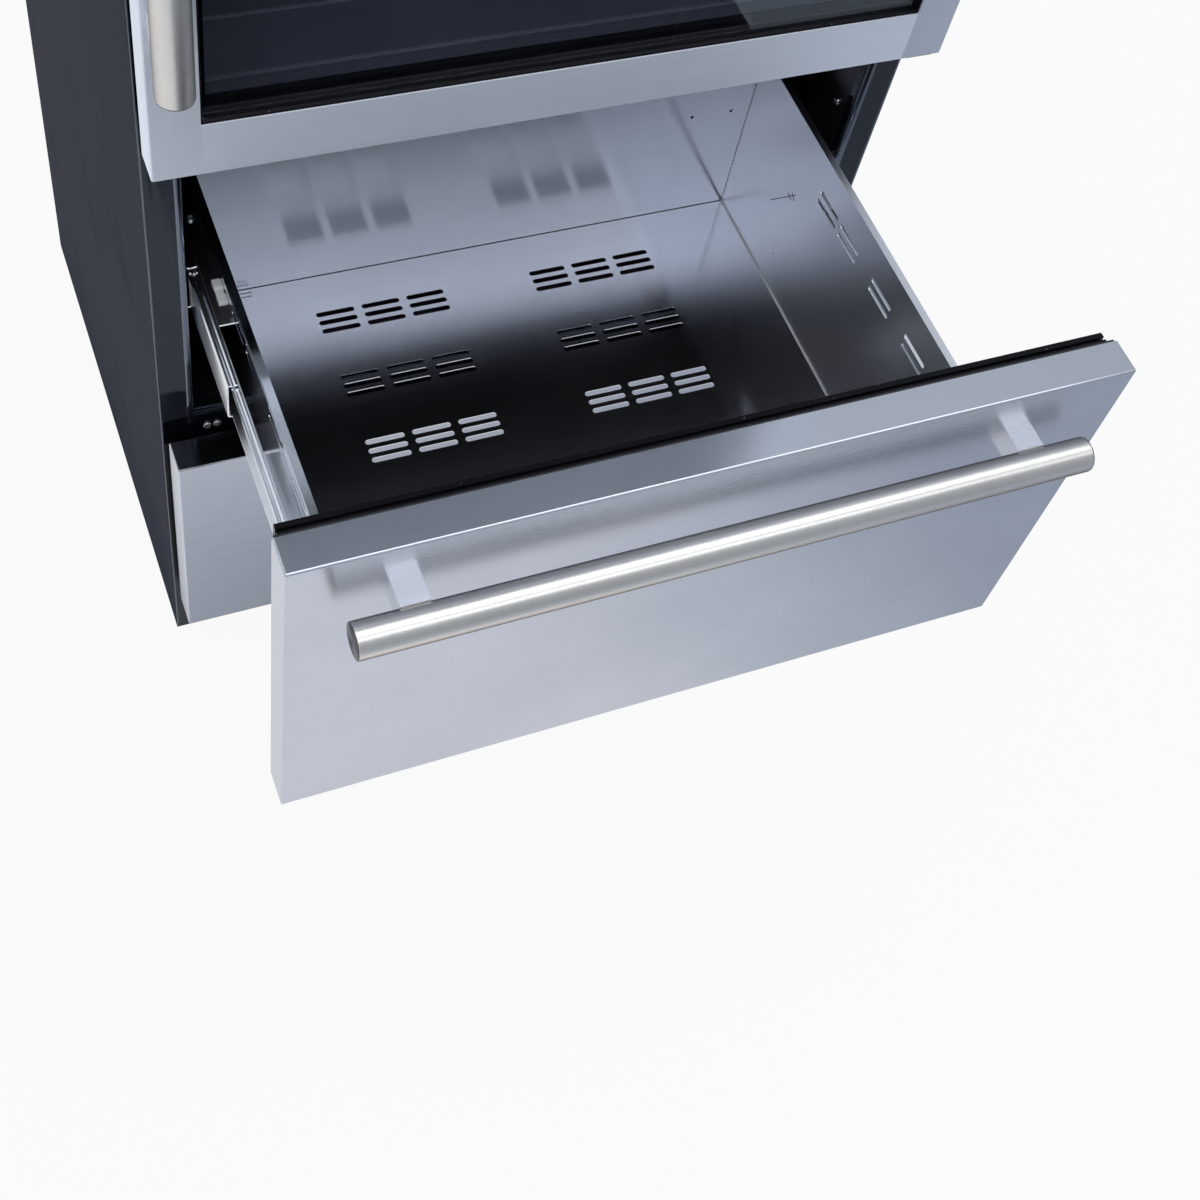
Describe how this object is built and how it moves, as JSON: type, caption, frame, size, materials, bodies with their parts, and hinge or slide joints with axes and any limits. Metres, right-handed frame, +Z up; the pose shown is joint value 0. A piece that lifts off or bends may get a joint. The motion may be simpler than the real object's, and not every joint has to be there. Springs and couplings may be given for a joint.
{
  "type": "wine and beverage cooler",
  "caption": "Tall free-standing wine and beverage cooler: hinged tinted-glass door with bar handle over a pull-out stainless drawer on telescopic slides, black cabinet, kick panel below.",
  "frame": {"origin": "on the floor, below the middle of the object's bounding box with the drawer pulled out as in the picture", "axes": "+Z up, +Y towards the back, +X to the right as seen from the front"},
  "size_m": [0.596, 0.8794, 1.7914],
  "materials": {
    "stainless": "brushed",
    "tub_steel": "brushed",
    "handle_steel": "brushed",
    "slide_steel": "satin",
    "black_panel": "satin",
    "black_gloss": "gloss",
    "black_steel": "satin",
    "galvanised": "satin",
    "black_plastic": "satin",
    "liner_plastic": "satin",
    "white_plastic": "satin",
    "display_plastic": "gloss",
    "light_plastic": "satin",
    "seal_rubber": "matte",
    "foam": "matte",
    "tinted_glass": "gloss",
    "spacer_metal": "satin",
    "shelf_wood": "satin",
    "copper_tube": "satin",
    "screw_steel": "polished"
  },
  "bodies": {
    "cabinet": {"side_panel_left": "black_panel", "side_panel_right": "black_panel", "top_cover": "black_panel", "back_panel": "galvanised", "base_pan": "black_steel", "front_frame": "black_gloss", "insulation": "foam", "upper_liner": "liner_plastic", "drawer_liner": "liner_plastic", "kick_panel": "stainless", "rear_machine_cover": "galvanised", "power_inlet": "black_plastic", "compressor": "black_steel", "condenser_coil": "copper_tube", "condenser_fan_frame": "black_plastic", "cold_air_cover": "liner_plastic", "control_panel": "display_plastic", "light_bar": "light_plastic", "shelf_1": "shelf_wood", "shelf_2": "shelf_wood", "shelf_3": "shelf_wood", "shelf_4": "shelf_wood", "top_hinge_bracket": "black_steel", "middle_hinge_bracket": "black_steel", "cabinet_screws": "screw_steel", "slide_outer_left": "slide_steel", "slide_outer_right": "slide_steel"},
    "drawer": {"drawer_front_skin": "stainless", "drawer_foam": "foam", "drawer_inner_panel": "black_plastic", "drawer_gasket": "seal_rubber", "tub_floor": "tub_steel", "tub_wall_left": "tub_steel", "tub_wall_right": "tub_steel", "tub_back": "tub_steel", "slide_inner_left": "slide_steel", "slide_inner_right": "slide_steel", "drawer_handle_bar": "handle_steel", "drawer_handle_posts": "stainless"},
    "door": {"door_stile_left": "stainless", "door_stile_right": "stainless", "door_rail_top": "stainless", "door_rail_bottom": "stainless", "door_glass_outer": "tinted_glass", "door_glass_inner": "tinted_glass", "door_glass_spacer": "spacer_metal", "door_inner_frame": "black_plastic", "door_gasket": "seal_rubber", "door_handle_bar": "handle_steel", "door_handle_posts": "stainless"},
    "slide_middle_left": {"slide_middle_left": "slide_steel", "slide_retainer_left": "white_plastic"},
    "slide_middle_right": {"slide_middle_right": "slide_steel", "slide_retainer_right": "white_plastic"},
    "condenser_fan": {"condenser_fan_rotor": "black_plastic"},
    "foot_front_left": {"foot_front_left": "black_plastic"},
    "foot_front_right": {"foot_front_right": "black_plastic"},
    "foot_rear_left": {"foot_rear_left": "black_plastic"},
    "foot_rear_right": {"foot_rear_right": "black_plastic"}
  },
  "joints": [
    {"name": "drawer_slide", "type": "slide", "parent": "cabinet", "child": "drawer", "axis": [0, -1, 0], "range_m": [-0.3055, 0.0945]},
    {"name": "slide_left", "type": "slide", "parent": "cabinet", "child": "slide_middle_left", "axis": [0, -1, 0], "range_m": [-0.15275, 0.04725]},
    {"name": "slide_right", "type": "slide", "parent": "cabinet", "child": "slide_middle_right", "axis": [0, -1, 0], "range_m": [-0.15275, 0.04725]},
    {"name": "door_hinge", "type": "hinge", "parent": "cabinet", "child": "door", "pos_m": [0.2875, -0.082, 1.22175], "axis": [0, 0, 1], "range_deg": [0, 105]},
    {"name": "condenser_fan_spin", "type": "hinge", "parent": "cabinet", "child": "condenser_fan", "pos_m": [0.13, 0.21175, 0.08], "axis": [0, 1, 0], "continuous": true},
    {"name": "foot_front_left_turn", "type": "hinge", "parent": "cabinet", "child": "foot_front_left", "pos_m": [-0.255, -0.01125, 0.009], "axis": [0, 0, 1], "continuous": true},
    {"name": "foot_front_right_turn", "type": "hinge", "parent": "cabinet", "child": "foot_front_right", "pos_m": [0.255, -0.01125, 0.009], "axis": [0, 0, 1], "continuous": true},
    {"name": "foot_rear_left_turn", "type": "hinge", "parent": "cabinet", "child": "foot_rear_left", "pos_m": [-0.255, 0.39375, 0.009], "axis": [0, 0, 1], "continuous": true},
    {"name": "foot_rear_right_turn", "type": "hinge", "parent": "cabinet", "child": "foot_rear_right", "pos_m": [0.255, 0.39375, 0.009], "axis": [0, 0, 1], "continuous": true}
  ],
  "couplings": [
    {"joint": "slide_left", "follows": "drawer_slide", "ratio": 0.5},
    {"joint": "slide_right", "follows": "drawer_slide", "ratio": 0.5}
  ]
}
